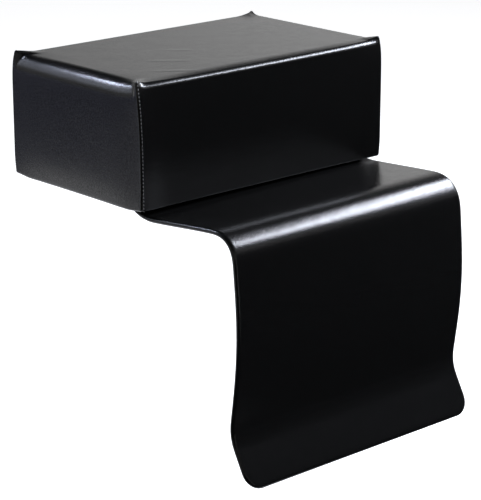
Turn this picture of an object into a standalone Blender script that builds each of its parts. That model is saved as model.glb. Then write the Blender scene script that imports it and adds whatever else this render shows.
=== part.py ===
"""Child's booster cushion for a salon chair.

A leatherette box cushion on a plywood base, with a padded apron that comes out from under the front
wall, lies forward on the chair's seat and hangs over its front edge. Metres, +Z up, front towards -Y,
origin at the middle of the felt that rests on the chair.
"""
import math

import bmesh
import bpy
from mathutils import Matrix, Vector

# Fit between pieces that touch
CLEARANCE = 0.0003

# Cushion, outside
CUSHION_WIDTH = 0.460
CUSHION_DEPTH = 0.280
CUSHION_HEIGHT = 0.177
COVER_THICKNESS = 0.0012
TOP_EDGE_RADIUS = 0.012
LOWER_EDGE_RADIUS = 0.010
CORNER_RADIUS = 0.008
HEM_INSET = 0.060

# Upholstered shape: crown of the top, swell of the walls, top edges drawn in and down between sewn tips
CROWN = 0.003
CROWN_RUN = 0.070
WALL_SWELL = 0.0025
EDGE_DRAW_IN = 0.003
EDGE_SAG = 0.0015
EDGE_REACH = 0.030
TIP_HEIGHT = 0.004
TIP_SPREAD = 0.016
TIP_REACH = 0.028

# Filling and base
BOARD_THICKNESS = 0.012
TOPPER_THICKNESS = 0.040
FELT_THICKNESS = 0.0022
FELT_MARGIN = 0.006

# Apron: lengths run along its middle line from the flap's rear edge, which lies at the hem's inner edge
APRON_WIDTH = 0.436
APRON_LENGTH = 0.571
APRON_THICKNESS = 0.008
APRON_CORNER_RADIUS = 0.026
SHEET_THICKNESS = 0.001
ROLL_WIDTH = 0.018
ROLL_POWER = 3
PADDING_MARGIN = 0.0045
PAD_START = 0.016
PAD_RAMP = 0.028
LIFT_FORWARD = 0.012

# Turns of the middle line: where each starts, how long it is, and its angle in degrees, up is positive
DIP_START = 0.014
DIP_LENGTH = 0.016
DIP_ANGLE = -11.0
LEVEL_START = 0.034
LEVEL_LENGTH = 0.020
LEVEL_ANGLE = 13.0
BEND_START = 0.181
BEND_LENGTH = 0.086
BEND_ANGLE = -86.5
SWAY_START = 0.279
SWAY_LENGTH = 0.177
SWAY_ANGLE = -13.5
KICK_START = 0.470
KICK_LENGTH = 0.052
KICK_ANGLE = 37.0

# Staples
STAPLE_WIDTH = 0.010
STAPLE_WIRE = 0.0006
STAPLE_BREADTH = 0.0011
STAPLE_GRIP = 0.006
STAPLE_INSET = 0.050
BACK_STAPLES = 6
SIDE_STAPLES = 3
APRON_STAPLES = 8

# Mesh density
LONG_SIDE_STEPS = 4
SHORT_SIDE_STEPS = 2
WALL_STEPS = 3
CROWN_STEPS = 3
ROW_STEP = 0.019
LINE_STEP = 0.001

# Levels that follow from the sizes above
HEM_LEVEL = FELT_THICKNESS - COVER_THICKNESS
BOARD_BOTTOM = FELT_THICKNESS + CLEARANCE
BOARD_TOP = BOARD_BOTTOM + BOARD_THICKNESS
CORE_TOP = CUSHION_HEIGHT - COVER_THICKNESS - TOPPER_THICKNESS
FILLING_DEPTH = COVER_THICKNESS + CLEARANCE
FLAP_HALF = SHEET_THICKNESS + CLEARANCE / 2
FLAP_LEVEL = HEM_LEVEL - CLEARANCE - FLAP_HALF
FLAP_REAR = -CUSHION_DEPTH / 2 + HEM_INSET
LIFT_AT = HEM_INSET + LIFT_FORWARD
BEND_AT = BEND_START + BEND_LENGTH / 2


def ease(x):
    x = min(max(x, 0.0), 1.0)
    return x * x * (3 - 2 * x)


def material(name, colour, roughness, metallic=0.0):
    made = bpy.data.materials.new(name)
    made.use_nodes = True
    shader = made.node_tree.nodes["Principled BSDF"]
    shader.inputs["Base Color"].default_value = (*colour, 1.0)
    shader.inputs["Roughness"].default_value = roughness
    shader.inputs["Metallic"].default_value = metallic
    return made


def add_object(name, mesh, finish, parent=None):
    obj = bpy.data.objects.new(name, mesh)
    bpy.context.scene.collection.objects.link(obj)
    if finish:
        mesh.materials.clear()
        mesh.materials.append(finish)
    if parent:
        obj.parent = parent
        obj.matrix_parent_inverse = parent.matrix_world.inverted()
    return obj


def mesh_from(name, points, faces, smooth=True):
    """Closed mesh with its faces turned outwards."""
    made = bmesh.new()
    verts = [made.verts.new(p) for p in points]
    for face in faces:
        made.faces.new([verts[i] for i in face])
    bmesh.ops.recalc_face_normals(made, faces=made.faces)
    mesh = bpy.data.meshes.new(name)
    made.to_mesh(mesh)
    made.free()
    if smooth:
        mesh.shade_smooth()
        mesh.set_sharp_from_angle(angle=math.radians(40))
    return mesh


# The cushion's skin: a stack of level loops

def skin_at(height):
    """Inset, height and outward normal (out, up) of the outer skin on the side of the cushion."""
    lower = HEM_LEVEL + LOWER_EDGE_RADIUS
    upper = CUSHION_HEIGHT - TOP_EDGE_RADIUS
    if height < lower:
        rise = (lower - height) / LOWER_EDGE_RADIUS
        out = math.sqrt(max(1 - rise * rise, 0.0))
        return LOWER_EDGE_RADIUS * (1 - out), height, out, -rise
    if height > upper:
        rise = (height - upper) / TOP_EDGE_RADIUS
        out = math.sqrt(max(1 - rise * rise, 0.0))
        return TOP_EDGE_RADIUS * (1 - out), height, out, rise
    return 0.0, height, 1.0, 0.0


def skin_levels():
    """Heights of the loops: both rounded edges, and the levels where the layers inside meet."""
    lower = [HEM_LEVEL + LOWER_EDGE_RADIUS * (1 - math.sin(math.radians(a))) for a in (90, 45, 0)]
    walls = [BOARD_TOP + (CORE_TOP - BOARD_TOP) * k / WALL_STEPS for k in range(WALL_STEPS + 1)]
    upper = [CUSHION_HEIGHT - TOP_EDGE_RADIUS * (1 - math.sin(math.radians(a))) for a in (0, 30, 60, 90)]
    return sorted(lower + walls + upper)


def top_loops():
    """The loops of the top, from its edge towards the middle."""
    insets = [TOP_EDGE_RADIUS + CROWN_RUN * k / CROWN_STEPS for k in range(1, CROWN_STEPS + 1)]
    return [(inset, CUSHION_HEIGHT, 0.0, 1.0) for inset in insets]


def side_stops(length, steps):
    """Places along a side from -1 to 1, with one near each end for the sewn tip."""
    near = 1 - TIP_REACH / (length / 2 - CORNER_RADIUS)
    return [-1.0] + [near * (2 * k / steps - 1) for k in range(steps + 1)] + [1.0]


def skin_loop(entry, depth):
    """Points of one loop of the skin, or of a layer that lies `depth` under it."""
    inset, height, out, up = entry
    half = (CUSHION_WIDTH / 2 - inset - depth * out, CUSHION_DEPTH / 2 - inset - depth * out)
    level = height - depth * up
    radius = CORNER_RADIUS - depth
    wall = (height - HEM_LEVEL) / (CUSHION_HEIGHT - HEM_LEVEL)
    inward = ease((inset - TOP_EDGE_RADIUS) / CROWN_RUN)
    top_share = ease(1 - (CUSHION_HEIGHT - height) / EDGE_REACH) * (1 - inward)
    swell = WALL_SWELL * math.sin(math.pi * wall) - EDGE_DRAW_IN * top_share
    crown = CROWN * inward * max(up, 0.0)
    points = []
    for turn in range(4):
        if turn % 2 == 0:
            along, across, full, steps = half[0], half[1], CUSHION_WIDTH, LONG_SIDE_STEPS
        else:
            along, across, full, steps = half[1], half[0], CUSHION_DEPTH, SHORT_SIDE_STEPS
        spin = Matrix.Rotation(math.radians(90 * turn), 3, "Z")
        for t in side_stops(full, steps):
            bow = 1 - t * t
            tip = math.exp(-(((1 - abs(t)) * (full / 2 - CORNER_RADIUS) / TIP_SPREAD) ** 2))
            lift = crown + top_share * (TIP_HEIGHT * tip - EDGE_SAG * (1 - tip))
            points.append(spin @ Vector((t * (along - radius), -across - swell * bow, level + lift)))
        corner = Vector((along - radius * (1 - math.sqrt(0.5)), -across + radius * (1 - math.sqrt(0.5)),
                         level + crown + top_share * TIP_HEIGHT))
        points.append(spin @ corner)
    return points


def bridge(loops):
    """Quads between following loops of equal length."""
    count = len(loops[0])
    faces = []
    for k in range(len(loops) - 1):
        low, high = k * count, (k + 1) * count
        for i in range(count):
            j = (i + 1) % count
            faces.append((low + i, low + j, high + j, high + i))
    return faces


def cover_mesh():
    """Outer and inner skin, joined along the hem's inner edge under the base."""
    hem = (HEM_INSET, HEM_LEVEL, 0.0, -1.0)
    entries = [hem] + [skin_at(height) for height in skin_levels()] + top_loops()
    outer = [skin_loop(entry, 0.0) for entry in entries]
    inner = [skin_loop(entry, COVER_THICKNESS) for entry in entries]
    loops = outer[::-1] + inner
    count = len(loops[0])
    points = [p for loop in loops for p in loop]
    caps = [tuple(range(count)), tuple(range(len(points) - count, len(points)))]
    return mesh_from("cover", points, bridge(loops) + caps)


def filling_mesh(name, bottom, top, crowned=False):
    """Solid layer that fills the cover between two heights, or up to the crown."""
    heights = [bottom] + [h for h in skin_levels() if bottom < h < top] + ([] if crowned else [top])
    entries = [skin_at(height) for height in heights]
    if crowned:
        entries += [skin_at(CUSHION_HEIGHT)] + top_loops()
    loops = [skin_loop(entry, FILLING_DEPTH) for entry in entries]
    count = len(loops[0])
    points = [p for loop in loops for p in loop]
    caps = [tuple(range(count)), tuple(range(len(points) - count, len(points)))]
    return mesh_from(name, points, bridge(loops) + caps)


def felt_mesh():
    """Flat pad inside the hem, on the bare middle of the board."""
    half_x = CUSHION_WIDTH / 2 - HEM_INSET - FELT_MARGIN
    half_y = CUSHION_DEPTH / 2 - HEM_INSET - FELT_MARGIN
    made = bmesh.new()
    bmesh.ops.create_cube(made, size=1.0)
    bmesh.ops.scale(made, vec=(2 * half_x, 2 * half_y, FELT_THICKNESS), verts=made.verts)
    bmesh.ops.translate(made, vec=(0, 0, FELT_THICKNESS / 2), verts=made.verts)
    mesh = bpy.data.meshes.new("bottom_felt")
    made.to_mesh(mesh)
    made.free()
    return mesh


# The apron: two sheets and a padding along one middle line

TURNS = (
    (DIP_START, DIP_LENGTH, DIP_ANGLE),
    (LEVEL_START, LEVEL_LENGTH, LEVEL_ANGLE),
    (BEND_START, BEND_LENGTH, BEND_ANGLE),
    (SWAY_START, SWAY_LENGTH, SWAY_ANGLE),
    (KICK_START, KICK_LENGTH, KICK_ANGLE),
)


def heading(s):
    return sum(math.radians(angle) * ease((s - start) / length) for start, length, angle in TURNS)


def apron_frame(s):
    """Point of the middle line at length s, and the direction out of the apron's face there."""
    steps = max(1, round(s / LINE_STEP))
    step = s / steps
    y, z = FLAP_REAR, FLAP_LEVEL
    for k in range(steps):
        turn = heading((k + 0.5) * step)
        y -= step * math.cos(turn)
        z += step * math.sin(turn)
    turn = heading(s)
    return Vector((0, y, z)), Vector((0, math.sin(turn), math.cos(turn)))


def half_thickness(distance, s):
    """From the middle line to the face, rolled off towards the sewn edge and flat in the flap."""
    roll = 1 - (1 - min(max(distance, 0.0) / ROLL_WIDTH, 1.0)) ** ROLL_POWER
    pad = ease((s - PAD_START) / PAD_RAMP)
    return FLAP_HALF + (APRON_THICKNESS / 2 - FLAP_HALF) * roll * pad


def inner_half(distance, s):
    return max(CLEARANCE / 2, half_thickness(distance - SHEET_THICKNESS, s) - SHEET_THICKNESS)


def half_width(s):
    """Half the apron's width, less at the rounded lower corners."""
    past = max(s - (APRON_LENGTH - APRON_CORNER_RADIUS), 0.0)
    cut = APRON_CORNER_RADIUS - math.sqrt(max(APRON_CORNER_RADIUS ** 2 - past ** 2, 0.0))
    return APRON_WIDTH / 2 - cut


EDGE_STOPS = (0.0, PADDING_MARGIN / 3, PADDING_MARGIN, (PADDING_MARGIN + ROLL_WIDTH) / 2, ROLL_WIDTH)
PADDING_STOPS = EDGE_STOPS[EDGE_STOPS.index(PADDING_MARGIN):]


def even_rows(start, end):
    count = max(1, math.ceil((end - start) / ROW_STEP))
    return [start + (end - start) * k / count for k in range(count + 1)]


def root_rows():
    pads = [PAD_START, PAD_START + PAD_RAMP / 2, PAD_START + PAD_RAMP]
    return [0.0] + pads + [LIFT_AT - CLEARANCE / 2]


def shelf_rows():
    return even_rows(LIFT_AT + CLEARANCE / 2, BEND_AT - CLEARANCE / 2)


def drop_rows():
    ends = [APRON_LENGTH - stop for stop in EDGE_STOPS]
    return even_rows(BEND_AT + CLEARANCE / 2, ends[-1]) + ends[-2::-1]


def layer_mesh(name, rows, stops, upper, lower):
    """Closed sheet over a grid of rows and columns between two offsets from the middle line.

    Each cell is split along the same diagonal in every layer, so that layers keep their clearance.
    """
    top, bottom = [], []
    for s in rows:
        place, normal = apron_frame(s)
        offsets = [-(half_width(s) - d) for d in stops] + [0.0] + [half_width(s) - d for d in stops[::-1]]
        depths = list(stops) + [ROLL_WIDTH] + list(stops[::-1])
        for x, depth in zip(offsets, depths):
            distance = min(depth, APRON_LENGTH - s)
            top.append(place + Vector((x, 0, 0)) + normal * upper(distance, s))
            bottom.append(place + Vector((x, 0, 0)) + normal * lower(distance, s))
    across, down = 2 * len(stops) + 1, len(rows)
    under = len(top)
    faces = []
    for r in range(down - 1):
        for c in range(across - 1):
            a = r * across + c
            halves = ((a, a + 1, a + across + 1), (a, a + across + 1, a + across))
            faces += list(halves) + [tuple(under + i for i in reversed(half)) for half in halves]
    border = list(range(across)) + [r * across + across - 1 for r in range(1, down)]
    border += [(down - 1) * across + c for c in range(across - 2, -1, -1)]
    border += [r * across for r in range(down - 2, 0, -1)]
    for k, a in enumerate(border):
        b = border[(k + 1) % len(border)]
        faces.append((a, b, under + b, under + a))
    return mesh_from(name, top + bottom, faces)


def apron_section(section, rows, padding_rows, parent, finishes):
    """Face, padding and back of one length of the apron."""
    leatherette, foam = finishes
    layers = (
        ("face", rows, EDGE_STOPS, half_thickness, inner_half, leatherette),
        ("padding", padding_rows, PADDING_STOPS,
         lambda d, s: inner_half(d, s) - CLEARANCE, lambda d, s: CLEARANCE - inner_half(d, s), foam),
        ("back", rows, EDGE_STOPS,
         lambda d, s: -inner_half(d, s), lambda d, s: -half_thickness(d, s), leatherette),
    )
    made = {}
    for layer, layer_rows, stops, upper, lower, finish in layers:
        name = f"apron_{section}_{layer}"
        made[layer] = add_object(name, layer_mesh(name, layer_rows, stops, upper, lower), finish, parent)
    return made


def joint_empty(name, s, parent=None):
    """Empty on a fold line: on the apron's face, where the face turns without overlapping itself."""
    place, normal = apron_frame(s)
    empty = bpy.data.objects.new(name, None)
    bpy.context.scene.collection.objects.link(empty)
    empty.location = place + normal * (APRON_THICKNESS / 2 + CLEARANCE)
    if parent:
        empty.parent = parent
        empty.matrix_parent_inverse = Matrix.Translation(-parent.location)
    bpy.context.view_layer.update()
    return empty


# Staples and the holes that their legs make

def staple_mesh(name, crown_top):
    """One staple, crown down, legs up into the board."""
    half, wire = STAPLE_WIDTH / 2, STAPLE_WIRE
    tip = BOARD_BOTTOM + STAPLE_GRIP
    low = crown_top - wire
    outline = [(-half, low), (half, low), (half, tip), (half - wire, tip), (half - wire, crown_top),
               (wire - half, crown_top), (wire - half, tip), (-half, tip)]
    points = [(x, side * STAPLE_BREADTH / 2, z) for side in (-1, 1) for x, z in outline]
    count = len(outline)
    faces = [(0, 1, 4, 5), (1, 2, 3, 4), (0, 5, 6, 7)]
    faces += [tuple(count + i for i in reversed(face)) for face in faces]
    faces += [(i, (i + 1) % count, count + (i + 1) % count, count + i) for i in range(count)]
    return mesh_from(name, points, faces, smooth=False)


def spread(count, half):
    return [half * (2 * k / (count - 1) - 1) for k in range(count)]


def staple_places():
    """Name, place, turn and crown height of every staple."""
    x_row = CUSHION_WIDTH / 2 - STAPLE_INSET
    y_row = CUSHION_DEPTH / 2 - STAPLE_INSET
    hem_crown = HEM_LEVEL - CLEARANCE
    flap_crown = FLAP_LEVEL - FLAP_HALF - CLEARANCE
    apron_half = APRON_WIDTH / 2 - STAPLE_INSET / 2
    side_half = y_row - STAPLE_INSET / 2
    places = []
    for k, x in enumerate(spread(BACK_STAPLES, x_row - STAPLE_INSET / 2), 1):
        places.append((f"back_staple_{k}", (x, y_row, 0), 0, hem_crown))
    for side, sign in (("left", -1), ("right", 1)):
        for k, y in enumerate(spread(SIDE_STAPLES, side_half), 1):
            places.append((f"{side}_staple_{k}", (sign * x_row, y, 0), 90, hem_crown))
    for k, x in enumerate(spread(APRON_STAPLES, apron_half), 1):
        places.append((f"apron_staple_{k}", (x, -y_row, 0), 0, flap_crown))
    return places


def add_staples(finish):
    meshes = {}
    for name, place, turn, crown in staple_places():
        if crown not in meshes:
            meshes[crown] = staple_mesh("staple", crown)
        staple = add_object(name, meshes[crown], finish)
        staple.location = place
        staple.rotation_euler = (0, 0, math.radians(turn))


def leg_cutter():
    """All the leg holes as one hidden cutter."""
    made = bmesh.new()
    wide = STAPLE_WIRE + 2 * CLEARANCE
    broad = STAPLE_BREADTH + 2 * CLEARANCE
    for name, place, turn, crown in staple_places():
        low = crown - STAPLE_WIRE
        high = BOARD_BOTTOM + STAPLE_GRIP + CLEARANCE
        staple = Matrix.Translation(place) @ Matrix.Rotation(math.radians(turn), 4, "Z")
        size = Matrix.Diagonal((wide, broad, high - low, 1))
        for side in (-1, 1):
            leg = Vector((side * (STAPLE_WIDTH - STAPLE_WIRE) / 2, 0, (low + high) / 2))
            bmesh.ops.create_cube(made, size=1.0, matrix=staple @ Matrix.Translation(leg) @ size)
    mesh = bpy.data.meshes.new("staple_holes")
    made.to_mesh(mesh)
    made.free()
    cutter = add_object("staple_holes", mesh, None)
    cutter.hide_render = True
    cutter.display_type = "WIRE"
    return cutter


def cut(obj, cutter):
    modifier = obj.modifiers.new("staple holes", "BOOLEAN")
    modifier.operation = "DIFFERENCE"
    modifier.solver = "EXACT"
    modifier.object = cutter


def main():
    for obj in list(bpy.data.objects):
        bpy.data.objects.remove(obj, do_unlink=True)

    leatherette = material("black leatherette", (0.012, 0.012, 0.013), 0.36)
    foam = material("upholstery foam", (0.78, 0.72, 0.52), 0.95)
    plywood = material("birch plywood", (0.62, 0.45, 0.27), 0.65)
    felt = material("black needle felt", (0.02, 0.02, 0.021), 0.95)
    steel = material("galvanised staple wire", (0.60, 0.61, 0.62), 0.35, 1.0)

    board = add_object("base_board", filling_mesh("base_board", HEM_LEVEL, BOARD_TOP), plywood)
    add_object("core_foam", filling_mesh("core_foam", BOARD_TOP + CLEARANCE, CORE_TOP), foam)
    topper = filling_mesh("topper_foam", CORE_TOP + CLEARANCE, CUSHION_HEIGHT, crowned=True)
    add_object("topper_foam", topper, foam)
    cover = add_object("cover", cover_mesh(), leatherette)
    add_object("bottom_felt", felt_mesh(), felt)

    lift = joint_empty("apron_lift_axis", LIFT_AT)
    bend = joint_empty("apron_bend_axis", BEND_AT, lift)
    finishes = (leatherette, foam)
    root_padding = [s for s in root_rows() if s >= PAD_START + PAD_RAMP / 2]
    drop_padding = [s for s in drop_rows() if s <= APRON_LENGTH - PADDING_MARGIN]
    root = apron_section("root", root_rows(), root_padding, None, finishes)
    apron_section("shelf", shelf_rows(), shelf_rows(), lift, finishes)
    apron_section("drop", drop_rows(), drop_padding, bend, finishes)

    add_staples(steel)
    cutter = leg_cutter()
    for obj in (board, cover, root["face"], root["back"]):
        cut(obj, cutter)

    for empty in (lift, bend):
        place = empty.matrix_world.translation
        print(f"{empty.name}: {place.x:.5f} {place.y:.5f} {place.z:.5f}")


main()
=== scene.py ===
"""Dressed model of a child's booster cushion for a salon chair.

A black leatherette box cushion on a plywood base, with a padded apron that lies forward and hangs over
the chair's front edge. Metres, +Z up, front towards -Y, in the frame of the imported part.
"""
import math

import bpy
import numpy as np
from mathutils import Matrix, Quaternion, Vector


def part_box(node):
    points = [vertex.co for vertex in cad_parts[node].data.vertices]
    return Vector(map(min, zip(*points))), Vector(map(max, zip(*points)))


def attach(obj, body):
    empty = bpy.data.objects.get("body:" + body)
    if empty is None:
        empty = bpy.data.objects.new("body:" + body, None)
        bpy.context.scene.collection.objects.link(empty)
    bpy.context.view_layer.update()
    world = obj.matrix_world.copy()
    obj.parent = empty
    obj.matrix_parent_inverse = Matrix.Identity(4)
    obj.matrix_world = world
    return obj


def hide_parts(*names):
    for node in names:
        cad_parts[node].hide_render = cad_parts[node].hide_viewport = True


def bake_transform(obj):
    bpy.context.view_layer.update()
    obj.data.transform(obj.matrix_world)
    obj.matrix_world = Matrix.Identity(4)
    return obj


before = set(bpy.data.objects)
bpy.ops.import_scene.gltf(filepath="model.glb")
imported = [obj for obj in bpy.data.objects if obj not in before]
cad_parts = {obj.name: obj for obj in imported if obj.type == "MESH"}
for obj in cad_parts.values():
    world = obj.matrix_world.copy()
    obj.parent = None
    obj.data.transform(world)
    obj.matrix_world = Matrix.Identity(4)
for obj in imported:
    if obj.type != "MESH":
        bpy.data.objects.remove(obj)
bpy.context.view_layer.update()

# Base board
# A sheet of rotary-cut birch plywood, sawn, sanded and left bare. It carries the staples, and only a strip
# of it shows underneath, between the cover's hem and the felt.


def linear(code):
    """Linear colour of an sRGB hex value."""
    channels = [int(code[i:i + 2], 16) / 255 for i in (0, 2, 4)]
    return [c / 12.92 if c <= 0.04045 else ((c + 0.055) / 1.055) ** 2.4 for c in channels] + [1.0]


def add(tree, kind, inputs=None, **settings):
    """Adds a node; each input is a value, or another node's output to link."""
    made = tree.nodes.new(kind)
    for name, value in settings.items():
        setattr(made, name, value)
    for name, value in (inputs or {}).items():
        if isinstance(value, bpy.types.NodeSocket):
            tree.links.new(value, made.inputs[name])
        else:
            made.inputs[name].default_value = value
    return made


def new_material(name, **values):
    """Material with its node tree and its Principled shader, whose plain values are set here."""
    made = bpy.data.materials.new(name)
    made.use_nodes = True
    shader = made.node_tree.nodes["Principled BSDF"]
    for socket, value in values.items():
        shader.inputs[socket.replace("_", " ")].default_value = value
    return made, made.node_tree, shader


def plywood_material():
    """Pale, with long fine grain lines and a dull sanded surface."""
    grain_spacing = 0.003
    grain_stretch = 0.06
    made, tree, shader = new_material("sanded birch plywood", Roughness=0.62)
    place = add(tree, "ShaderNodeTexCoord").outputs["Object"]
    along = add(tree, "ShaderNodeMapping", {"Vector": place, "Scale": (grain_stretch, 1, 1)})
    grain = add(tree, "ShaderNodeTexNoise", {"Vector": along.outputs["Vector"], "Scale": 1 / grain_spacing,
                                             "Detail": 6.0, "Distortion": 0.8})
    tone = add(tree, "ShaderNodeValToRGB", {"Fac": grain.outputs["Fac"]})
    tone.color_ramp.elements[0].position = 0.3
    tone.color_ramp.elements[0].color = linear("a97f50")
    tone.color_ramp.elements[1].position = 0.7
    tone.color_ramp.elements[1].color = linear("d9b684")
    relief = add(tree, "ShaderNodeBump", {"Height": grain.outputs["Fac"], "Strength": 0.4,
                                          "Distance": 0.0002})
    tree.links.new(tone.outputs["Color"], shader.inputs["Base Color"])
    tree.links.new(relief.outputs["Normal"], shader.inputs["Normal"])
    return made


def dress(node, material):
    """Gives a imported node, whose shape stays, a better finish."""
    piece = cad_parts[node]
    piece.data.materials.clear()
    piece.data.materials.append(material)


dress("base_board", plywood_material())

# Foam
# A firm block of cut foam glued to the board, and a softer topper glued on the block. The cover is pulled
# tight over them, so they have its form, a little smaller.

BOX_LOW, BOX_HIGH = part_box("cover")
BLOCK_SWELL = 0.0025
HALF_WIDTH = BOX_HIGH.x - BLOCK_SWELL
HALF_DEPTH = BOX_HIGH.y - BLOCK_SWELL
HEM_LEVEL = BOX_LOW.z
# Four values in a row are for the front, right, back and left wall.
# The sewn tips, and the top edges that sag between them
TIP_LIFT, TIP_REACH, TIP_POWER = 0.0040, 0.020, 1.7
TIP_RADIUS, TIP_RUN = 0.0025, 0.009
SEAT_LEVEL = BOX_HIGH.z - TIP_LIFT
EDGE_REACHES = (0.016, 0.017, 0.032, 0.012)
EDGE_SAGS = (0.0022, 0.0, 0.0, 0.0050)
EDGE_BOWS = (3, 3, 8, 3)
EDGE_RADII = (0.0075, 0.0085, 0.0085, 0.010)
EDGE_SPREADS = (0, 0, 0, 2.5)
SAG_RUNS = (0.016, 0.016, 0.016, 0.011)
RIM_FADE, RIM_LAP = 0.030, 0.001
# Creases of the seat: start, end and height
SEAT_CREASES = (((-0.165, -0.085), (-0.105, -0.128), 0.00035),
                ((-0.130, -0.025), (-0.075, -0.072), 0.0003),
                ((-0.060, 0.010), (-0.020, -0.020), 0.0002))
CREASE_WIDTH = 0.0045
# The walls, their upright corners and the lower edge
WALL_SWELLS, CORNER_SWELL = (0.0008, 0.0030, 0.0030, 0.0034), 0.0026
WALL_TUCKS, TUCK_POWER = (0.0, 1.0, 1.0, 1.0), 6
WALL_CORNER, LOW_CORNER, LOW_SHARE = 0.0015, 0.006, 0.16
CORNER_LEAN, LEAN_RUN, LEAN_POWER = 0.0021, 0.030, 4
LOWER_RADII, LOWER_CORNER_RADIUS = (0.0015, 0.005, 0.005, 0.005), 0.003
LOWER_DIPS = (0.0, 0.002, 0.002, 0.0035)
LOWER_RUN = 0.030
HEM_INSET = 0.060
# Columns of the mesh: the first step from a corner, its growth and the largest step
COLUMN_STEPS = (0.0004, 0.2, 0.004)


def ease(x):
    """Smooth step from 0 to 1."""
    x = np.clip(x, 0.0, 1.0)
    return x * x * (3 - 2 * x)


def graded(length, first, growth, largest):
    """Distances from 0 to length, in steps that grow from the first to the largest."""
    stops = [0.0]
    while stops[-1] < length:
        stops.append(stops[-1] + min(first + growth * stops[-1], largest))
    return np.array(stops) * length / stops[-1]


def wall_columns(half):
    """Distance of each column of a wall from the nearer corner, and the hand of that corner."""
    near = graded(half, *COLUMN_STEPS)
    hand = np.concatenate([-np.ones(len(near)), np.ones(len(near) - 1)])
    return np.concatenate([near, near[-2::-1]]), hand


FRONT_COLUMNS, SIDE_COLUMNS = wall_columns(HALF_WIDTH), wall_columns(HALF_DEPTH)
NEAR = np.concatenate([FRONT_COLUMNS[0][:-1], SIDE_COLUMNS[0][:-1]] * 2)


def by_wall(values):
    """One value for each column, from those of the front, right, back and left wall."""
    return np.repeat(values, [len(FRONT_COLUMNS[0]) - 1, len(SIDE_COLUMNS[0]) - 1] * 2)


def tip(distance, reach):
    """Rise of a sewn corner tip, by the distance from it."""
    return TIP_LIFT * (1 - np.clip(distance / reach, 0, 1)) ** TIP_POWER


HALF = by_wall((HALF_WIDTH, HALF_DEPTH, HALF_WIDTH, HALF_DEPTH))
BOW = 1 - (1 - NEAR / HALF) ** by_wall(EDGE_BOWS)
SAG = by_wall(EDGE_SAGS) * BOW
TILT = np.arctan(2 * SAG / by_wall(SAG_RUNS))
AFTER_TIP = ease(NEAR / TIP_RUN)
RADIUS = TIP_RADIUS + (by_wall(EDGE_RADII) - TIP_RADIUS) * AFTER_TIP
SPREAD = by_wall(EDGE_SPREADS) * AFTER_TIP
RIM_LEVEL = SEAT_LEVEL - SAG + tip(NEAR, by_wall(EDGE_REACHES))
AFTER_CORNER = ease(NEAR / LOWER_RUN)
DIP = by_wall(LOWER_DIPS) * AFTER_CORNER
LOWER_RADIUS = LOWER_CORNER_RADIUS + (by_wall(LOWER_RADII) - LOWER_CORNER_RADIUS) * AFTER_CORNER
WALL_FOOT = HEM_LEVEL + LOWER_RADIUS


def edge_arc(radius, spread, angle):
    """Inset and rise of a top edge from the wall up to a normal of that angle. The curve is wider on the
    wall: its radius there is larger by the spread and falls with the fourth power of the angle's cosine."""
    sin, cos = np.sin(angle), np.cos(angle)
    rise = sin + spread * (sin - 2 / 3 * sin ** 3 + sin ** 5 / 5)
    return radius * (1 - cos + spread * (1 - cos ** 5) / 5), radius * rise


def ring(inset, radius):
    """One level loop round the cushion from its front left corner: points and outward directions.
    The inset may differ from point to point."""
    inset = np.broadcast_to(inset, NEAR.shape)
    front = (HALF_WIDTH, HALF_DEPTH, FRONT_COLUMNS[1])
    side = (HALF_DEPTH, HALF_WIDTH, SIDE_COLUMNS[1])
    arc = radius * math.pi / 4
    walls, start = [], 0
    for turn, (half, across, hand) in enumerate((front, side, front, side)):
        part = slice(start, start + len(hand) - 1)
        start = part.stop
        near, hand, pulled = NEAR[part], hand[:-1], inset[part]
        swing = math.pi / 4 * np.clip(1 - near / arc, 0, 1)
        run = np.clip((near - arc) / (half - arc), 0, 1)
        x = hand * ((half - pulled - radius) * (1 - run) + radius * np.sin(swing))
        y = -(across - pulled - radius) - radius * np.cos(swing)
        out = np.stack([hand * np.sin(swing), -np.cos(swing)], 1)
        cos, sin = round(math.cos(turn * math.pi / 2)), round(math.sin(turn * math.pi / 2))
        spin = np.array([[cos, sin], [-sin, cos]])
        walls.append((np.stack([x, y], 1) @ spin, out @ spin))
    return [np.concatenate(part) for part in zip(*walls)]


EDGE_RISE = edge_arc(RADIUS, SPREAD, math.pi / 2 - TILT)[1]


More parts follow.
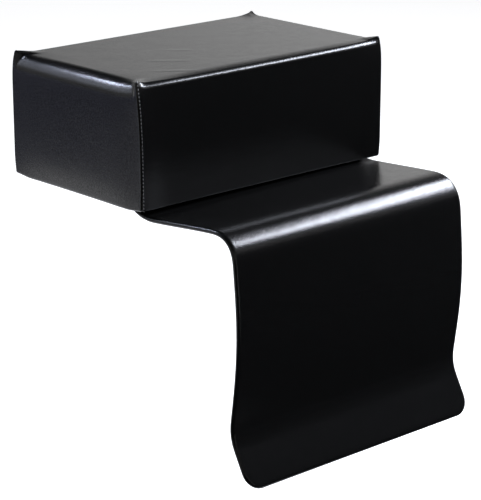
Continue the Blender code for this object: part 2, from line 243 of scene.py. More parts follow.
def skin_loop(zone, t, depth=0.0, seam=None):
    """Loop of the cushion's skin at a share t of one of its zones: hem, turn, wall or edge.
    Walls swell, top edges sag between the sewn tips, the front corners lean; `seam` adds relief at them."""
    out, up, inset = np.ones(NEAR.shape), np.zeros(NEAR.shape), np.zeros(NEAR.shape)
    if zone == "hem":
        out, up = out * 0, up - 1
        inset, level = inset + HEM_INSET + (LOWER_RADIUS - HEM_INSET) * t, HEM_LEVEL - DIP * ease(t)
    elif zone == "turn":
        angle = math.pi / 2 * (t - 1)
        out, up = out * math.cos(angle), up + math.sin(angle)
        inset, level = LOWER_RADIUS * (1 - out), WALL_FOOT - DIP + LOWER_RADIUS * up
    elif zone == "wall":
        level = WALL_FOOT - DIP + (RIM_LEVEL - EDGE_RISE - WALL_FOOT + DIP) * t
    else:
        angle = (math.pi / 2 - TILT) * t
        out, up = np.cos(angle), np.sin(angle)
        inset, rise = edge_arc(RADIUS, SPREAD, angle)
        level = RIM_LEVEL - EDGE_RISE + rise
    rise = np.clip((level - HEM_LEVEL) / (SEAT_LEVEL - HEM_LEVEL), 0, 1)
    corner = WALL_CORNER + (LOW_CORNER - WALL_CORNER) * float(ease(1 - rise.mean() / LOW_SHARE))
    tuck = np.where(rise < 0.5, by_wall(WALL_TUCKS) * BOW, 1.0) * np.abs(2 * rise - 1) ** TUCK_POWER
    swell = (CORNER_SWELL + (by_wall(WALL_SWELLS) - CORNER_SWELL) * BOW) * (1 - tuck)
    plan, away = ring(inset + depth * out - swell, corner)
    lean = np.where(plan[:, 1] < 0, CORNER_LEAN, 0.0) * (1 - 2 * rise ** LEAN_POWER)
    lean = lean * np.exp(-(NEAR / LEAN_RUN) ** 2)
    plan = plan + np.sign(plan) * np.column_stack([-lean, lean])
    relief = seam(NEAR) if seam else np.zeros(NEAR.shape)
    z = level - depth * up + relief * np.minimum(up, 0.0)
    return np.column_stack([plan + away * (relief * out)[:, None], z])


def fill(loop, fade=None):
    """Grid of points inside a loop, from its front left corner; rows run to the back. Each side of the loop
    counts less away from it, down to nothing at the far side, or within the distance `fade`."""
    wide, deep = len(FRONT_COLUMNS[0]), len(SIDE_COLUMNS[0])
    ends = np.cumsum([0, wide - 1, deep - 1, wide - 1, deep - 1])
    around = np.vstack([loop, loop[:1]])
    front, right, back, left = (around[ends[k]:ends[k + 1] + 1] for k in range(4))
    back, left = back[::-1], left[::-1]
    u = ((front[:, 0] - front[0, 0]) / (front[-1, 0] - front[0, 0]))[None, :, None]
    v = ((left[:, 1] - left[0, 1]) / (left[-1, 1] - left[0, 1]))[:, None, None]
    by_left, by_right, by_front, by_back = 1 - u, u, 1 - v, v
    if fade:
        by_left, by_right = (np.clip(1 - 2 * HALF_WIDTH * share / fade, 0, 1) ** 2 for share in (u, 1 - u))
        by_front, by_back = (np.clip(1 - 2 * HALF_DEPTH * share / fade, 0, 1) ** 2 for share in (v, 1 - v))
    ruled = by_front * front[None] + by_back * back[None]
    ruled = ruled + by_left * left[:, None] + by_right * right[:, None]
    corners = (by_front * (by_left * front[0] + by_right * front[-1])
               + by_back * (by_left * back[0] + by_right * back[-1]))
    return ruled - corners


def seat_level(grid):
    """Level of the seat: flat in the middle, falling to its sagging edges, with the corner tips raised."""
    x, y = grid[..., 0], grid[..., 1]
    level = SEAT_LEVEL + tip(np.hypot(HALF_WIDTH - np.abs(x), HALF_DEPTH - np.abs(y)), TIP_REACH)
    walls = ((y + HALF_DEPTH, x / HALF_WIDTH), (HALF_WIDTH - x, y / HALF_DEPTH),
             (HALF_DEPTH - y, x / HALF_WIDTH), (x + HALF_WIDTH, y / HALF_DEPTH))
    edges = zip(EDGE_SAGS, EDGE_BOWS, EDGE_RADII, EDGE_SPREADS, SAG_RUNS, walls)
    for sag, bow, radius, spread, run, (inward, along) in edges:
        rim = edge_arc(radius, spread, math.pi / 2 - math.atan(2 * sag / run))[0] - RIM_LAP
        fall = np.clip(1 - (inward - rim) / run, 0, None)
        level = level - sag * np.clip(1 - np.abs(along) ** bow, 0, 1) * fall ** 2
    for start, end, height in SEAT_CREASES:
        run = np.array(end) - start
        share = ((x - start[0]) * run[0] + (y - start[1]) * run[1]) / (run @ run)
        aside = np.hypot(x - start[0] - share * run[0], y - start[1] - share * run[1])
        ridge = height * np.exp(-(aside / CREASE_WIDTH) ** 2)
        level = level + ridge * np.clip(1 - (2 * share - 1) ** 2, 0, 1)
    return level


def top_grid(loop, depth):
    """The seat inside a rim loop, at a depth under the skin; what the rim departs from the seat's own form
    dies away near it."""
    grid = fill(loop)
    around = loop.copy()
    around[:, 2] -= seat_level(loop) - depth
    grid[..., 2] = seat_level(grid) - depth + fill(around, RIM_FADE)[..., 2]
    return grid


def add_loops(points, faces, loops, turned=False):
    """Adds loops to a mesh, with quads between them; returns where the first and the last one start."""
    first, count = len(points), len(loops[0])
    for loop in loops:
        points.extend(map(tuple, loop))
    for k in range(len(loops) - 1):
        low, high = first + k * count, first + (k + 1) * count
        for i in range(count):
            j = (i + 1) % count
            quad = (low + i, low + j, high + j, high + i)
            faces.append(quad[::-1] if turned else quad)
    return first, len(points) - count


def add_grid(points, faces, grid, start, turned=False):
    """Closes the loop that starts at `start` with a grid whose border is that loop."""
    deep, wide = grid.shape[:2]
    index = np.zeros((deep, wide), int)
    index[0] = start + np.arange(wide)
    index[:, -1] = start + wide - 1 + np.arange(deep)
    index[-1] = start + wide + deep - 2 + np.arange(wide)[::-1]
    index[1:, 0] = start + 2 * wide + deep - 3 + np.arange(deep - 1)[::-1]
    inside = grid[1:-1, 1:-1].reshape(-1, 3)
    index[1:-1, 1:-1] = len(points) + np.arange(len(inside)).reshape(deep - 2, wide - 2)
    points.extend(map(tuple, inside))
    for r in range(deep - 1):
        for c in range(wide - 1):
            quad = (index[r, c], index[r, c + 1], index[r + 1, c + 1], index[r + 1, c])
            faces.append(quad[::-1] if turned else quad)


SHARP_ANGLE = 60


def add_piece(name, points, faces, material):
    """New object at the origin, shaded smooth apart from its sharp edges."""
    mesh = bpy.data.meshes.new(name)
    mesh.from_pydata(points, [], [tuple(int(i) for i in face) for face in faces])
    mesh.validate()
    mesh.shade_smooth()
    mesh.set_sharp_from_angle(angle=math.radians(SHARP_ANGLE))
    mesh.materials.append(material)
    piece = bpy.data.objects.new(name, mesh)
    bpy.context.scene.collection.objects.link(piece)
    return piece


FOAM_GAP = 0.0022
SHOULDER_DEPTH = 0.020
TOP_EDGE_DEPTH = 0.012
FOAM_WALL_LOOPS, FOAM_EDGE_LOOPS = 12, 7


def foam_material(name, colour, dark, cell):
    """Cut open-cell polyurethane foam: dull, with a crumb of small open cells."""
    made, tree, shader = new_material(name, Roughness=0.95)
    place = add(tree, "ShaderNodeTexCoord").outputs["Object"]
    cells = add(tree, "ShaderNodeTexVoronoi", {"Vector": place, "Scale": 1 / cell})
    tone = add(tree, "ShaderNodeValToRGB", {"Fac": cells.outputs["Distance"]})
    tone.color_ramp.elements[0].color = linear(dark)
    tone.color_ramp.elements[1].color = linear(colour)
    pits = add(tree, "ShaderNodeBump", {"Height": cells.outputs["Distance"], "Strength": 0.7,
                                        "Distance": 0.0004})
    tree.links.new(tone.outputs["Color"], shader.inputs["Base Color"])
    tree.links.new(pits.outputs["Normal"], shader.inputs["Normal"])
    return made


def add_foam(name, node, bottom, top, gap, material):
    """Closed block of foam inside the skin, from one level to another or up to the seat (top is None)."""
    points, faces = [], []
    reach = SEAT_LEVEL - SHOULDER_DEPTH if top is None else top
    foot = HEM_LEVEL + max(LOWER_RADII)
    low, high = ((level - foot) / (SEAT_LEVEL - TOP_EDGE_DEPTH - foot) for level in (bottom, reach))
    loops = [skin_loop("wall", t, gap) for t in np.linspace(low, high, FOAM_WALL_LOOPS)]
    loops[0][:, 2] = bottom
    if top is None:
        loops.append(skin_loop("wall", 1.0, gap))
        loops += [skin_loop("edge", t, gap) for t in np.linspace(0, 1, FOAM_EDGE_LOOPS)[1:]]
    else:
        loops[-1][:, 2] = top
    first, last = add_loops(points, faces, loops)
    add_grid(points, faces, fill(loops[0]), first, turned=True)
    add_grid(points, faces, top_grid(loops[-1], gap) if top is None else fill(loops[-1]), last)
    foam = add_piece(name, points, faces, material)
    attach(foam, "cushion")
    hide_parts(node)


core_box, topper_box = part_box("core_foam"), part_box("topper_foam")
add_foam("core_foam_block", "core_foam", core_box[0].z, core_box[1].z, FOAM_GAP,
         foam_material("firm grey polyurethane foam", "b9b6ab", "7f7b70", 0.0012))
add_foam("topper_foam_block", "topper_foam", topper_box[0].z, None, FOAM_GAP,
         foam_material("soft cream polyurethane foam", "e3d8b4", "b3a682", 0.0016))

# Leatherette cover
# One cross-shaped blank of black vinyl leatherette, so the top edges have no seam. The four upright corners
# are sewn, the sewn tips stand up a little, and the walls are pulled under the board and stapled.

COVER_THICKNESS = 0.0012
SEAM_STEEPNESS, SEAM_DEPTH, SEAM_WIDTH = 0.0030, 0.0011, 0.0010
ROLL_HEIGHT, ROLL_PLACE = 0.0003, 1.7 * SEAM_WIDTH
# Loops of the mesh in each zone, from the hem upwards; the lining takes one in eight
HEM_LOOPS, TURN_LOOPS, WALL_LOOPS, EDGE_LOOPS = 9, 9, 70, 12
LINING_STEP = 8


def corner_seam(near):
    """Groove at a sewn corner, with a small roll beside it."""
    groove = -np.minimum(SEAM_STEEPNESS * np.exp(-(near / SEAM_WIDTH) ** 2), SEAM_DEPTH)
    return groove + ROLL_HEIGHT * np.exp(-((near - ROLL_PLACE) / SEAM_WIDTH) ** 2)


def cover_section():
    """Zone and share of each loop, from the hem's inner edge to the rim of the seat."""
    rows = [("hem", t) for t in np.linspace(0, 1, HEM_LOOPS)[:-1]]
    rows += [("turn", t) for t in np.linspace(0, 1, TURN_LOOPS)]
    rows += [("wall", t) for t in np.linspace(0, 1, WALL_LOOPS)[1:-1]]
    return rows + [("edge", t) for t in np.linspace(0, 1, EDGE_LOOPS)]


def leatherette_material():
    """Calendered vinyl on a cloth backing: an embossed pebble grain under a semi-gloss lacquer. It is near
    black apart from its reflections, which slack waves and small folds unsettle and the grain speckles.

    The real pebbles are about 0.8 mm and the pores 0.3 mm. They are drawn coarser so that they show.
    """
    pebble, pore, speck = 0.0019, 0.0011, 0.0017
    slack, crush, worn_patch = 0.045, 0.012, 0.014
    # Vinyl's IOR is about 1.53. The matted grain mirrors less, and 1.36 gives the dark walls.
    made, tree, shader = new_material("black embossed vinyl leatherette", IOR=1.36)
    shader.inputs["Base Color"].default_value = linear("0d0d0d")
    place = add(tree, "ShaderNodeTexCoord").outputs["Object"]
    waves = add(tree, "ShaderNodeTexNoise", {"Vector": place, "Scale": 1 / slack, "Detail": 3.0})
    loose = add(tree, "ShaderNodeBump", {"Height": waves.outputs["Fac"], "Strength": 0.35,
                                         "Distance": 0.0008})
    folds = add(tree, "ShaderNodeTexNoise", {"Vector": place, "Scale": 1 / crush, "Detail": 2.0})
    mottle = add(tree, "ShaderNodeBump", {"Height": folds.outputs["Fac"], "Strength": 0.3,
                                          "Distance": 0.0002, "Normal": loose.outputs["Normal"]})
    pebbles = add(tree, "ShaderNodeTexVoronoi", {"Vector": place, "Scale": 1 / pebble, "Smoothness": 0.5},
                  feature="SMOOTH_F1")
    emboss = add(tree, "ShaderNodeBump", {"Height": pebbles.outputs["Distance"], "Strength": 0.6,
                                          "Distance": 0.0002, "Normal": mottle.outputs["Normal"]},
                 invert=True)
    pores = add(tree, "ShaderNodeTexNoise", {"Vector": place, "Scale": 1 / pore, "Detail": 2.0})
    fine = add(tree, "ShaderNodeBump", {"Height": pores.outputs["Fac"], "Strength": 0.3,
                                        "Distance": 0.00006, "Normal": emboss.outputs["Normal"]})
    wear = add(tree, "ShaderNodeTexNoise", {"Vector": place, "Scale": 1 / worn_patch, "Detail": 4.0})
    gloss = add(tree, "ShaderNodeMapRange", {"Value": wear.outputs["Fac"], "From Min": 0.3, "From Max": 0.7,
                                             "To Min": 0.215, "To Max": 0.235})
    grain = add(tree, "ShaderNodeTexNoise", {"Vector": place, "Scale": 1 / speck, "Detail": 1.0})
    glint = add(tree, "ShaderNodeMapRange", {"Value": grain.outputs["Fac"], "From Min": 0.3, "From Max": 0.7,
                                             "To Min": 0.28, "To Max": 0.72})
    tree.links.new(glint.outputs["Result"], shader.inputs["Specular IOR Level"])
    tree.links.new(gloss.outputs["Result"], shader.inputs["Roughness"])
    tree.links.new(fine.outputs["Normal"], shader.inputs["Normal"])
    return made


leatherette = leatherette_material()
cover_points, cover_faces = [], []
cover_rows = cover_section()
cover_loops = [skin_loop(zone, t, 0.0, corner_seam) for zone, t in cover_rows]
hem_start, rim_start = add_loops(cover_points, cover_faces, cover_loops)
add_grid(cover_points, cover_faces, top_grid(cover_loops[-1], 0.0), rim_start)
lining_rows = [row for k, row in enumerate(cover_rows) if k % LINING_STEP == 0 or row[0] == "edge"]
lining_loops = [skin_loop(zone, t, COVER_THICKNESS) for zone, t in lining_rows]
lining_start, lining_rim = add_loops(cover_points, cover_faces, lining_loops, turned=True)
lining_top = top_grid(lining_loops[-1], COVER_THICKNESS)
add_grid(cover_points, cover_faces, lining_top, lining_rim, turned=True)
loop_count = len(lining_loops[0])
for i in range(loop_count):
    j = (i + 1) % loop_count
    cover_faces.append((hem_start + j, hem_start + i, lining_start + i, lining_start + j))
cover = add_piece("leatherette_cover", cover_points, cover_faces, leatherette)
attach(cover, "cushion")
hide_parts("cover")

# Corner topstitching
# A row of polyester thread beside every corner seam, on the front and back walls, sewn through the
# turned allowances so that the seam lies flat. The thread's light grey is painted highlight, the light it
# catches.

STITCH_INSET = 0.0024
STITCH_PITCH = 0.0050
STITCH_LENGTH = 0.0030
THREAD_WIDTH = 0.0008
UNSEWN_LOOPS = 4


def thread_material():
    """Twisted filament thread: satin, with slanting plies, drawn coarser than life so that they show. Its
    light grey, lighter on the ply ridges, is painted highlight.
    """
    ply = 0.0005
    made, tree, shader = new_material("polyester thread, grey as painted highlight", Roughness=0.45, Sheen_Weight=0.3)
    place = add(tree, "ShaderNodeTexCoord").outputs["Object"]
    slant = add(tree, "ShaderNodeMapping", {"Vector": place, "Rotation": (0.6, 0.5, 0.7)})
    # A wave of scale 1 repeats about every 0.3 m.
    plies = add(tree, "ShaderNodeTexWave", {"Vector": slant.outputs["Vector"], "Scale": 0.3 / ply})
    # Painted highlight: the grey, darker in the ply grooves and lighter on the ridges, stands in for the
    # light the thread catches.
    tone = add(tree, "ShaderNodeValToRGB", {"Fac": plies.outputs["Fac"]})
    tone.color_ramp.elements[0].color = linear("6c6c70")
    tone.color_ramp.elements[1].color = linear("a6a6aa")
    twist = add(tree, "ShaderNodeBump", {"Height": plies.outputs["Fac"], "Strength": 0.5,
                                         "Distance": 0.0001})
    tree.links.new(tone.outputs["Color"], shader.inputs["Base Color"])
    tree.links.new(twist.outputs["Normal"], shader.inputs["Normal"])
    return made


def stitch_tree():
    """Geometry Nodes: stitches set at a pitch along the edges of a mesh."""
    tree = bpy.data.node_groups.new("stitch_row", "GeometryNodeTree")
    for name, kind in (("Path", "Geometry"), ("Pitch", "Float"), ("Length", "Float"), ("Width", "Float"),
                       ("Thread", "Material")):
        tree.interface.new_socket(name, in_out="INPUT", socket_type="NodeSocket" + kind)
    tree.interface.new_socket("Stitches", in_out="OUTPUT", socket_type="NodeSocketGeometry")
    given = add(tree, "NodeGroupInput").outputs
    path = add(tree, "GeometryNodeMeshToCurve", {"Mesh": given["Path"]})
    spots = add(tree, "GeometryNodeResampleCurve",
                {"Curve": path.outputs["Curve"], "Length": given["Pitch"]}, mode="LENGTH")
    along = add(tree, "GeometryNodeInputTangent")
    turn = add(tree, "FunctionNodeAlignRotationToVector", {"Vector": along.outputs["Tangent"]}, axis="X")
    size = add(tree, "ShaderNodeCombineXYZ",
               {"X": given["Length"], "Y": given["Width"], "Z": given["Width"]})
    bead = add(tree, "GeometryNodeMeshUVSphere", {"Segments": 8, "Rings": 6, "Radius": 0.5})
    sewn = add(tree, "GeometryNodeInstanceOnPoints",
               {"Points": spots.outputs["Curve"], "Instance": bead.outputs["Mesh"],
                "Rotation": turn.outputs["Rotation"], "Scale": size.outputs["Vector"]})
    solid = add(tree, "GeometryNodeRealizeInstances", {"Geometry": sewn.outputs["Instances"]})
    round_off = add(tree, "GeometryNodeSetShadeSmooth", {"Geometry": solid.outputs["Geometry"]})
    finish = add(tree, "GeometryNodeSetMaterial",
                 {"Geometry": round_off.outputs["Geometry"], "Material": given["Thread"]})
    add(tree, "NodeGroupOutput", {"Stitches": finish.outputs["Geometry"]})
    return tree


def sew(name, paths, thread):
    """Mesh of stitches along polylines, baked from the node tree."""
    points, edges = [], []
    for path in paths:
        edges.extend((len(points) + k, len(points) + k + 1) for k in range(len(path) - 1))
        points.extend(map(tuple, path))
    piece = bpy.data.objects.new(name, bpy.data.meshes.new(name + "_path"))
    piece.data.from_pydata(points, edges, [])
    bpy.context.scene.collection.objects.link(piece)
    modifier = piece.modifiers.new("stitches", "NODES")
    modifier.node_group = stitch_tree()
    values = {"Pitch": STITCH_PITCH, "Length": STITCH_LENGTH, "Width": THREAD_WIDTH, "Thread": thread}
    for socket in modifier.node_group.interface.items_tree:
        if socket.name in values:
            modifier[socket.identifier] = values[socket.name]
    baked = bpy.data.meshes.new_from_object(piece.evaluated_get(bpy.context.evaluated_depsgraph_get()))
    piece.modifiers.clear()
    piece.data = baked
    return piece


def corner_paths():
    """Polyline on the cover beside every corner seam, on the front or back wall, from the lower edge
    to just under the tip."""
    wide, deep = len(FRONT_COLUMNS[0]) - 1, len(SIDE_COLUMNS[0]) - 1
    side = np.argmin(np.abs(FRONT_COLUMNS[0][:wide // 2] - STITCH_INSET))
    upright = [loop for loop, (zone, _) in zip(cover_loops, cover_rows) if zone in ("wall", "edge")]
    upright = np.array(upright[:-UNSEWN_LOOPS])
    corners = (0, wide, wide + deep, 2 * wide + deep)
    return [upright[:, corner + hand * side] for corner, hand in zip(corners, (1, -1, 1, -1))]


corner_stitches = sew("corner_topstitching", corner_paths(), thread_material())
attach(corner_stitches, "cushion")

# Bottom felt
# A pad of black needle felt, cut with rounded corners and glued to the bare middle of the board. The cushion
# rests on it and doesn't slip on the chair's seat.

FELT_LOW, FELT_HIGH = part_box("bottom_felt")
FELT_EDGE = 0.0009
FELT_CORNER, FELT_CORNER_POINTS = 0.006, 7


def felt_material():
    """Matted short fibres: dull, with a soft uneven nap. The fibres are drawn coarser than life to show."""
    fibre = 0.0009
    made, tree, shader = new_material("black needle felt", Roughness=0.95, Sheen_Weight=0.25)
    place = add(tree, "ShaderNodeTexCoord").outputs["Object"]
    nap = add(tree, "ShaderNodeTexNoise", {"Vector": place, "Scale": 1 / fibre, "Detail": 5.0,
                                           "Distortion": 1.5})
    tone = add(tree, "ShaderNodeValToRGB", {"Fac": nap.outputs["Fac"]})
    tone.color_ramp.elements[0].color = linear("141416")
    tone.color_ramp.elements[1].color = linear("2c2c2f")
    relief = add(tree, "ShaderNodeBump", {"Height": nap.outputs["Fac"], "Strength": 0.6,
                                          "Distance": 0.0004})
    tree.links.new(tone.outputs["Color"], shader.inputs["Base Color"])
    tree.links.new(relief.outputs["Normal"], shader.inputs["Normal"])
    return made


def felt_loop(inset, level):
    """Outline of the felt at one level, with rounded corners."""
    x = FELT_HIGH.x - inset - FELT_CORNER
    y = FELT_HIGH.y - inset - FELT_CORNER
    points = []
    for k, centre in enumerate(((-x, -y), (x, -y), (x, y), (-x, y))):
        for angle in np.radians(np.linspace(180, 270, FELT_CORNER_POINTS) + 90 * k):
            points.append((centre[0] + FELT_CORNER * math.cos(angle),
                           centre[1] + FELT_CORNER * math.sin(angle), level))
    return points


felt_points, felt_faces = [], []
felt_loops = [felt_loop(FELT_EDGE, FELT_LOW.z), felt_loop(FELT_EDGE / 3, FELT_LOW.z + FELT_EDGE / 3),
              felt_loop(0.0, FELT_LOW.z + FELT_EDGE), felt_loop(0.0, FELT_HIGH.z)]
felt_bottom, felt_top = add_loops(felt_points, felt_faces, felt_loops)
felt_faces.append(tuple(range(felt_bottom, felt_bottom + len(felt_loops[0])))[::-1])
felt_faces.append(tuple(range(felt_top, felt_top + len(felt_loops[0]))))
felt = add_piece("felt_pad", felt_points, felt_faces, felt_material())
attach(felt, "cushion")
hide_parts("bottom_felt")

# Staples
# Staples bent from galvanised steel wire, driven through the cover's hem and through the apron's flap into
# the board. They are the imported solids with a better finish.


def staple_material():
    """Zinc-coated wire: dull bright metal with a faint mottle, drawn coarser than life to show."""
    mottle = 0.0008
    made, tree, shader = new_material("galvanised steel wire", Metallic=1.0)
    shader.inputs["Base Color"].default_value = linear("c3c6c8")
    place = add(tree, "ShaderNodeTexCoord").outputs["Object"]
    spangle = add(tree, "ShaderNodeTexNoise", {"Vector": place, "Scale": 1 / mottle, "Detail": 3.0})
    gloss = add(tree, "ShaderNodeMapRange", {"Value": spangle.outputs["Fac"],
                                             "To Min": 0.25, "To Max": 0.45})
    tree.links.new(gloss.outputs["Result"], shader.inputs["Roughness"])
    return made


staple_finish = staple_material()
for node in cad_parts:
    if "_staple_" in node:
        dress(node, staple_finish)

# Apron
# Two sheets of the same leatherette with thin foam between them, sewn face to face round three sides and
# turned, so its edges are round. It is one piece, stapled under the board; it is split where it lies flat.

APRON_WIDTH = 0.438
APRON_LENGTH = 0.574
APRON_CORNER = 0.026
PANEL_HALF = 0.004
FLAP_HALF = 0.00115
EDGE_ROLL = 0.006
EDGE_POWER = 2.2
FLAP_REAR = -0.080
FLAP_LEVEL = -0.00045
PAD_START, PAD_RAMP = 0.016, 0.028
# Turns of the profile: start and run along the apron's length, and degrees
APRON_TURNS = ((0.014, 0.016, -11.0), (0.034, 0.020, 13.0), (0.181, 0.086, -86.5), (0.279, 0.177, -13.5),
               (0.470, 0.052, 37.0))
# The root droops more at its left end than at its right, and the bend comes later there. Both come in and go
# out along the length, each over a start and a run.
ROOT_DROOP, DROOP_IN, DROOP_OUT = (0.0075, 0.0030), (0.020, 0.050), (0.045, 0.165)
BEND_DELAY, DELAY_IN, DELAY_OUT = 0.005, (0.090, 0.090), (0.300, 0.150)
SPLIT_AT = 0.130
PROFILE_STOPS = 1200

line_stops = np.linspace(0, APRON_LENGTH, PROFILE_STOPS)
line_turn = sum(math.radians(angle) * ease((line_stops - start) / run) for start, run, angle in APRON_TURNS)
line_middle = (line_turn[1:] + line_turn[:-1]) / 2
line_y = FLAP_REAR - np.concatenate([[0], np.cumsum(np.cos(line_middle))]) * line_stops[1]
line_z = FLAP_LEVEL + np.concatenate([[0], np.cumsum(np.sin(line_middle))]) * line_stops[1]


def apron_half_width(s):
    """Half the apron's width at length s, less at the rounded lower corners."""
    past = np.clip(s - (APRON_LENGTH - APRON_CORNER), 0, APRON_CORNER)
    return APRON_WIDTH / 2 - APRON_CORNER + np.sqrt(APRON_CORNER ** 2 - past ** 2)


def edge_distance(x, s):
    """Distance from the sewn edge, which runs along both sides and round the lower end."""
    side = APRON_WIDTH / 2 - np.abs(x)
    end = APRON_LENGTH - s
    corner = APRON_CORNER - np.hypot(APRON_CORNER - side, APRON_CORNER - end)
    return np.where((side < APRON_CORNER) & (end < APRON_CORNER), corner, np.minimum(side, end))


def half_thickness(x, s):
    """Flat flap under the cushion, then the padded panel; both roll over at the sewn edge."""
    inward = np.clip(1 - np.clip(edge_distance(x, s), 0, None) / EDGE_ROLL, 0, 1)
    roll = (1 - inward ** EDGE_POWER) ** (1 / EDGE_POWER)
    return roll * (FLAP_HALF + (PANEL_HALF - FLAP_HALF) * ease((s - PAD_START) / PAD_RAMP))


def within(s, come, go):
    """Share that comes in over one stretch of the apron's length and goes out over another."""
    return ease((s - come[0]) / come[1]) * (1 - ease((s - go[0]) / go[1]))


def apron_point(x, s, side):
    """Points on the apron's face (side 1) or back (side -1)."""
    leftward = 0.5 - x / APRON_WIDTH
    late = s - BEND_DELAY * leftward * within(s, DELAY_IN, DELAY_OUT)
    turn = np.interp(late, line_stops, line_turn)
    height = side * half_thickness(x, s)
    droop = ROOT_DROOP[1] + (ROOT_DROOP[0] - ROOT_DROOP[1]) * leftward
    droop = droop * within(s, DROOP_IN, DROOP_OUT)
    y = np.interp(s, line_stops, line_y) + np.sin(turn) * height
    z = np.interp(late, line_stops, line_z) + np.cos(turn) * height - droop
    return np.stack([x, y, z], -1)


# Distances of the mesh's lines from the rolled edge, the middle columns, and the steps between rows
EDGE_STOPS = np.array([0.0, 0.00004, 0.00015, 0.0004, 0.0008, 0.0014, 0.0022, 0.0032, 0.0044, 0.0058, 0.0074,
                       0.0095, 0.012, 0.016, 0.021, 0.027, 0.034])
MIDDLE_COLUMNS = 64
REAR_STEP, FLAT_STEP, BEND_STEP = 0.003, 0.004, 0.002
BEND_FROM, BEND_TO = 0.181, 0.267


def apron_columns(s):
    """Columns across the apron, close together at its edges."""
    half = apron_half_width(s)
    middle = np.linspace(-1, 1, MIDDLE_COLUMNS)[1:-1] * (half - EDGE_STOPS[-1])
    return np.concatenate([-(half - EDGE_STOPS), middle, (half - EDGE_STOPS)[::-1]])


def rows_between(start, end, step):
    """Even rows no further apart than the step."""
    return np.linspace(start, end, max(2, math.ceil((end - start) / step) + 1))


def apron_piece(name, rows, lower_end):
    """Closed skin over some rows of the apron; the cut ends are closed flat."""
    x = np.stack([apron_columns(s) for s in rows])
    s = np.repeat(np.array(rows)[:, None], x.shape[1], 1)
    face, back = apron_point(x, s, 1), apron_point(x, s, -1)
    down, across = x.shape
    upper = np.arange(x.size).reshape(down, across)
    lower = upper + x.size
    lower[:, 0], lower[:, -1] = upper[:, 0], upper[:, -1]
    if lower_end:
        lower[-1] = upper[-1]
    points = np.vstack([face.reshape(-1, 3), back.reshape(-1, 3)])
    faces = []
    for r in range(down - 1):
        for c in range(across - 1):
            faces.append((upper[r, c], upper[r + 1, c], upper[r + 1, c + 1], upper[r, c + 1]))
            faces.append((lower[r, c], lower[r, c + 1], lower[r + 1, c + 1], lower[r + 1, c]))
    for r, turned in ((0, False),) if lower_end else ((0, False), (down - 1, True)):
        loop = list(upper[r]) + list(lower[r, -2:0:-1])
        faces.append(loop[::-1] if turned else loop)
    used = sorted({int(i) for face in faces for i in face})
    renumber = {old: new for new, old in enumerate(used)}
    faces = [[renumber[int(i)] for i in face] for face in faces]
    piece = add_piece(name, [tuple(points[i]) for i in used], faces, leatherette)
    return piece


rear_rows = rows_between(0.0, SPLIT_AT, REAR_STEP)
front_rows = np.concatenate([rows_between(SPLIT_AT, BEND_FROM, FLAT_STEP)[:-1],
                             rows_between(BEND_FROM, BEND_TO, BEND_STEP)[:-1],
                             rows_between(BEND_TO, APRON_LENGTH - EDGE_STOPS[-1], FLAT_STEP)[:-1],
                             APRON_LENGTH - EDGE_STOPS[::-1]])
apron_rear = apron_piece("apron_rear", rear_rows, False)
apron_front = apron_piece("apron_front", front_rows, True)
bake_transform(apron_rear)
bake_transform(apron_front)
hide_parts("apron_root_face", "apron_root_padding", "apron_root_back")
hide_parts("apron_shelf_face", "apron_shelf_padding", "apron_shelf_back",
            "apron_drop_face", "apron_drop_padding", "apron_drop_back")

# Floor, light and camera
# A plain white floor at the foot of a styling chair, and three softboxes, one of them behind a grid. Dark
# leather shows what it mirrors, so two black cards and a grey one stand where only reflections see them.

FLOOR_LEVEL = -0.50
FLOOR_HALF = 12.0
CARD_LIFT = 0.002
CAMERA_PITCH, CAMERA_TURN = 17.1887, -42.1466
scene = bpy.context.scene
scene.view_settings.view_transform = "Standard"


def floor_material():
    """Matt white board; the camera and reflections see it brighter than it is lit."""
    glow_strength = 0.78
    made, tree, shader = new_material("matt white floor", Roughness=0.9)
    shader.inputs["Base Color"].default_value = linear("e6e6e6")
    shader.inputs["Specular IOR Level"].default_value = 0.0
    path = add(tree, "ShaderNodeLightPath")
    seen = add(tree, "ShaderNodeMath", {0: path.outputs["Is Camera Ray"], 1: path.outputs["Is Glossy Ray"]},
               operation="MAXIMUM")
    seen = add(tree, "ShaderNodeMath", {0: seen.outputs[0], 1: path.outputs["Is Transmission Ray"]},
               operation="MAXIMUM")
    glow = add(tree, "ShaderNodeMath", {0: seen.outputs[0], 1: glow_strength}, operation="MULTIPLY")
    shader.inputs["Emission Color"].default_value = linear("ffffff")
    tree.links.new(glow.outputs[0], shader.inputs["Emission Strength"])
    return made


floor_corners = [(x * FLOOR_HALF, y * FLOOR_HALF, FLOOR_LEVEL)
                 for x, y in ((-1, -1), (1, -1), (1, 1), (-1, 1))]
floor = add_piece("floor", floor_corners, [(0, 1, 2, 3)], floor_material())


def add_card(name, colour, foot, turn, near, far, half, top):
    """Card that lies on the floor from near to far and stands up there. Only reflections see it."""
    ahead = np.array([math.sin(math.radians(turn)), math.cos(math.radians(turn)), 0])
    beside = np.array([-ahead[1], ahead[0], 0])
    points = []
    low = FLOOR_LEVEL + CARD_LIFT
    for reach, level in ((near, low), (far, low), (far, top)):
        for hand in (-1, 1):
            points.append((foot[0] + ahead[0] * reach + beside[0] * hand * half,
                           foot[1] + ahead[1] * reach + beside[1] * hand * half, level))
    finish, _, shader = new_material("matt " + name, Roughness=1.0)
    shader.inputs["Base Color"].default_value = linear(colour)
    shader.inputs["Specular IOR Level"].default_value = 0.0
    card = add_piece(name, points, [(0, 1, 3, 2), (2, 3, 5, 4)], finish)
    card.visible_camera = False
    card.visible_diffuse = False
    card.visible_shadow = False


add_card("black_card", "101010", (0.0, -0.33), 138, 0.12, 1.30, 0.95, 0.42)
add_card("dark_card", "101010", (-0.10, -0.35), -137, 0.10, 1.40, 1.00, 0.10)
add_card("grey_card", "cccee8", (-0.25, 0.05), -42, 1.75, 3.2, 1.4, 0.0)

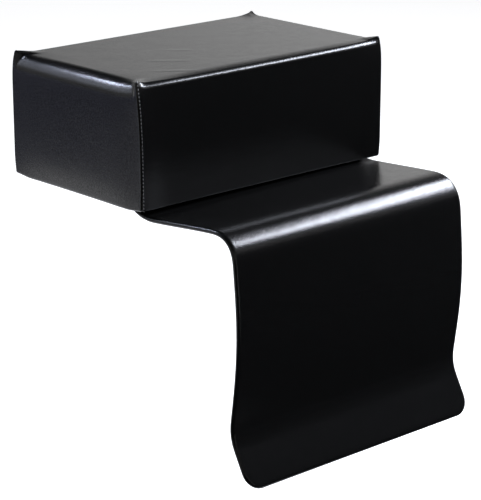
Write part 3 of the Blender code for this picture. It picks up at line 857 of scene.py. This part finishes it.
# The room is pale up to about 22 degrees, dark above 31, and brighter on the right.
world = bpy.data.worlds.new("studio")
scene.world = world
world.use_nodes = True
room = world.node_tree
sky = room.nodes["Background"]
direction = add(room, "ShaderNodeTexCoord").outputs["Generated"]
split = add(room, "ShaderNodeSeparateXYZ", {"Vector": direction})
backdrop = add(room, "ShaderNodeMapRange", {"Value": split.outputs["Z"], "From Min": 0.37, "From Max": 0.51,
                                            "To Min": 0.64, "To Max": 0.025})
sideways = add(room, "ShaderNodeMapRange", {"Value": split.outputs["X"], "From Min": 0.56, "From Max": 0.72,
                                            "To Min": 0.79, "To Max": 1.50})
strength = add(room, "ShaderNodeMath", {0: backdrop.outputs["Result"], 1: sideways.outputs["Result"]},
               operation="MULTIPLY")
sky.inputs["Color"].default_value = linear("ffffff")
room.links.new(strength.outputs[0], sky.inputs["Strength"])


def add_softbox(name, place, aim, roll, size, beam, radiance, colour):
    """Area lamp turned to its aim and rolled about it, behind a grid that lets out a beam of that angle.
    Its power gives that radiance along the beam."""
    half_beam = math.radians(beam / 2)
    lamp = bpy.data.lights.new(name, "AREA")
    lamp.shape = "RECTANGLE"
    lamp.size, lamp.size_y = size
    lamp.spread = 2 * half_beam
    lamp.energy = radiance * math.pi * size[0] * size[1] * (1 - half_beam / math.tan(half_beam))
    lamp.color = linear(colour)[:3]
    made = bpy.data.objects.new(name, lamp)
    made.visible_camera = False
    scene.collection.objects.link(made)
    made.location = place
    turn = (Vector(aim) - Vector(place)).to_track_quat("-Z", "Y")
    made.rotation_euler = (turn @ Quaternion((0, 0, 1), math.radians(roll))).to_euler()


add_softbox("softbox_right", (1.931, -0.823, 1.63), (0.031, -0.205, 0.0), 0,
            (1.8, 0.46), 180, 50, "edf2ff")
add_softbox("softbox_left", (-0.597, 0.618, 0.758), (-0.23, -0.125, 0.17), -40,
            (0.16, 0.08), 34, 230, "dde6ff")
add_softbox("softbox_behind", (-1.316, 1.672, 1.10), (-0.23, 0.0, 0.17), -50,
            (1.2, 0.35), 180, 4.4, "e2eaff")

camera_data = bpy.data.cameras.new("camera")
camera_data.lens = 147.6
camera = bpy.data.objects.new("camera", camera_data)
scene.collection.objects.link(camera)
camera.location = (-1.91521, -2.20388, 0.77098)
camera.rotation_euler = (math.radians(90 - CAMERA_PITCH), 0, math.radians(CAMERA_TURN))
scene.camera = camera
